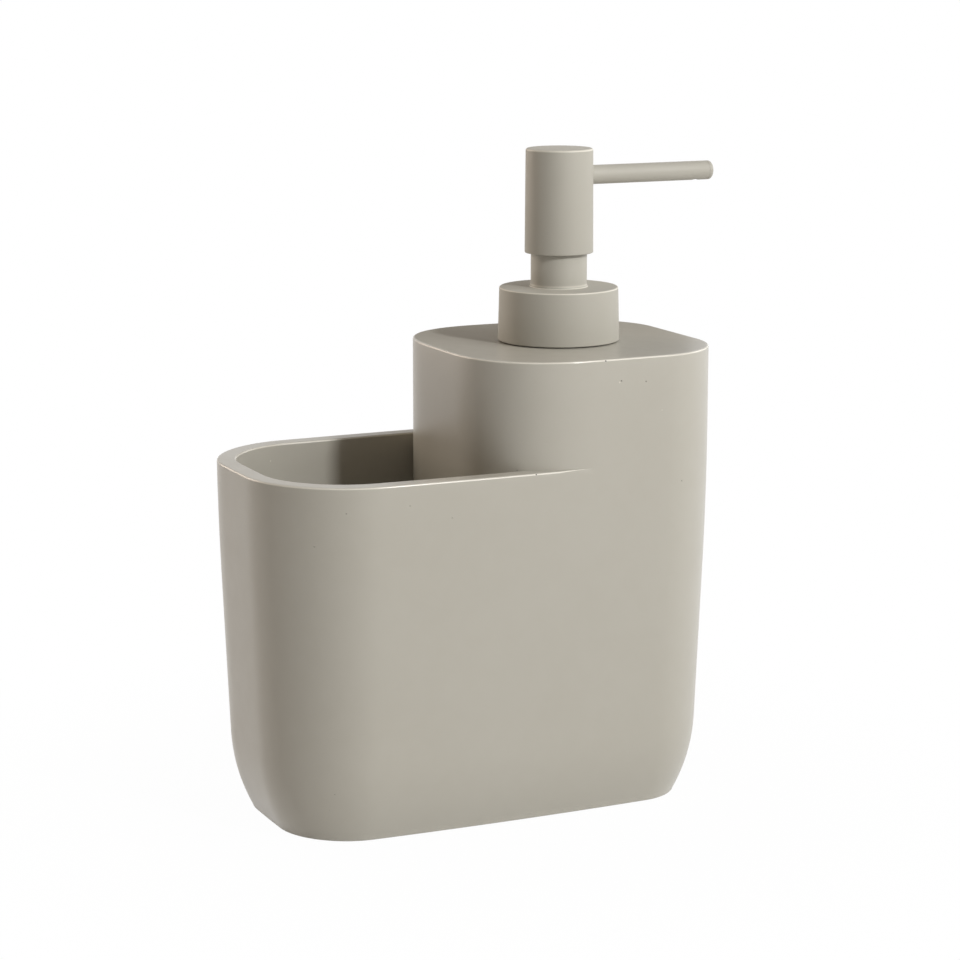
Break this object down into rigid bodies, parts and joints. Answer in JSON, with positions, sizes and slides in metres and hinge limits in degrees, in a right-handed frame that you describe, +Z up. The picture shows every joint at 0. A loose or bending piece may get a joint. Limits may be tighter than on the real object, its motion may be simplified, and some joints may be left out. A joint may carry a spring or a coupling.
{
  "type": "soap pump caddy",
  "caption": "Free-standing soap pump caddy: a cast body with an open pocket beside a taller soap reservoir that carries a lotion pump with a straight spout.",
  "frame": {"origin": "under the middle of the whole length and width, on the surface that it stands on", "axes": "+Z up, +X from the pocket to the spout, -Y to the front"},
  "size_m": [0.1467, 0.077, 0.1852],
  "materials": {
    "cast_body": "cast stone resin, matte, warm grey-beige, with a few fine pinholes",
    "pump_coating": "drawn metal with a satin coating in the body's warm grey-beige",
    "moulded": "natural moulded plastic",
    "seal": "dark rubber",
    "pad": "dark foam rubber, non-slip",
    "steel": "bright stainless steel"
  },
  "bodies": {
    "caddy": {"caddy_body": "cast_body", "base_pad": "pad", "neck_insert": "moulded"},
    "pump": {"pump_chamber": "moulded", "pump_retainer": "moulded", "neck_sleeve": "pump_coating", "neck_gasket": "seal", "ball_cage": "moulded", "dip_tube": "moulded", "return_spring": "steel"},
    "collar": {"collar_cover": "pump_coating", "closure_nut": "moulded"},
    "plunger": {"piston": "seal"},
    "head": {"stem": "moulded", "head_core": "moulded", "head_shell": "pump_coating", "spout_tube": "pump_coating", "spout_plug": "pump_coating"},
    "inlet_valve": {"inlet_ball": "steel"},
    "outlet_valve": {"outlet_ball": "steel"}
  },
  "joints": [
    {"name": "pump_rise", "type": "slide", "parent": "caddy", "child": "pump", "axis": [0, 0, 1], "range_m": [0, 0.00529]},
    {"name": "collar_turn", "type": "hinge", "parent": "pump", "child": "collar", "pos_m": [0.025, 0, 0.138], "axis": [0, 0, 1], "range_deg": [0, 450]},
    {"name": "head_press", "type": "slide", "parent": "pump", "child": "plunger", "axis": [0, 0, -1], "range_m": [0, 0.0085], "stiffness_N_per_m": 600, "springref_m": -0.004, "deforming": ["return_spring"]},
    {"name": "head_swivel", "type": "hinge", "parent": "plunger", "child": "head", "pos_m": [0.025, 0, 0.16], "axis": [0, 0, 1], "continuous": true},
    {"name": "inlet_ball_lift", "type": "slide", "parent": "pump", "child": "inlet_valve", "axis": [0, 0, 1], "range_m": [0, 0.001]},
    {"name": "outlet_ball_lift", "type": "slide", "parent": "head", "child": "outlet_valve", "axis": [0, 0, 1], "range_m": [0, 0.001]}
  ],
  "couplings": [
    {"joint": "collar_turn", "follows": "pump_rise", "rad_per_m": 1485.4}
  ]
}
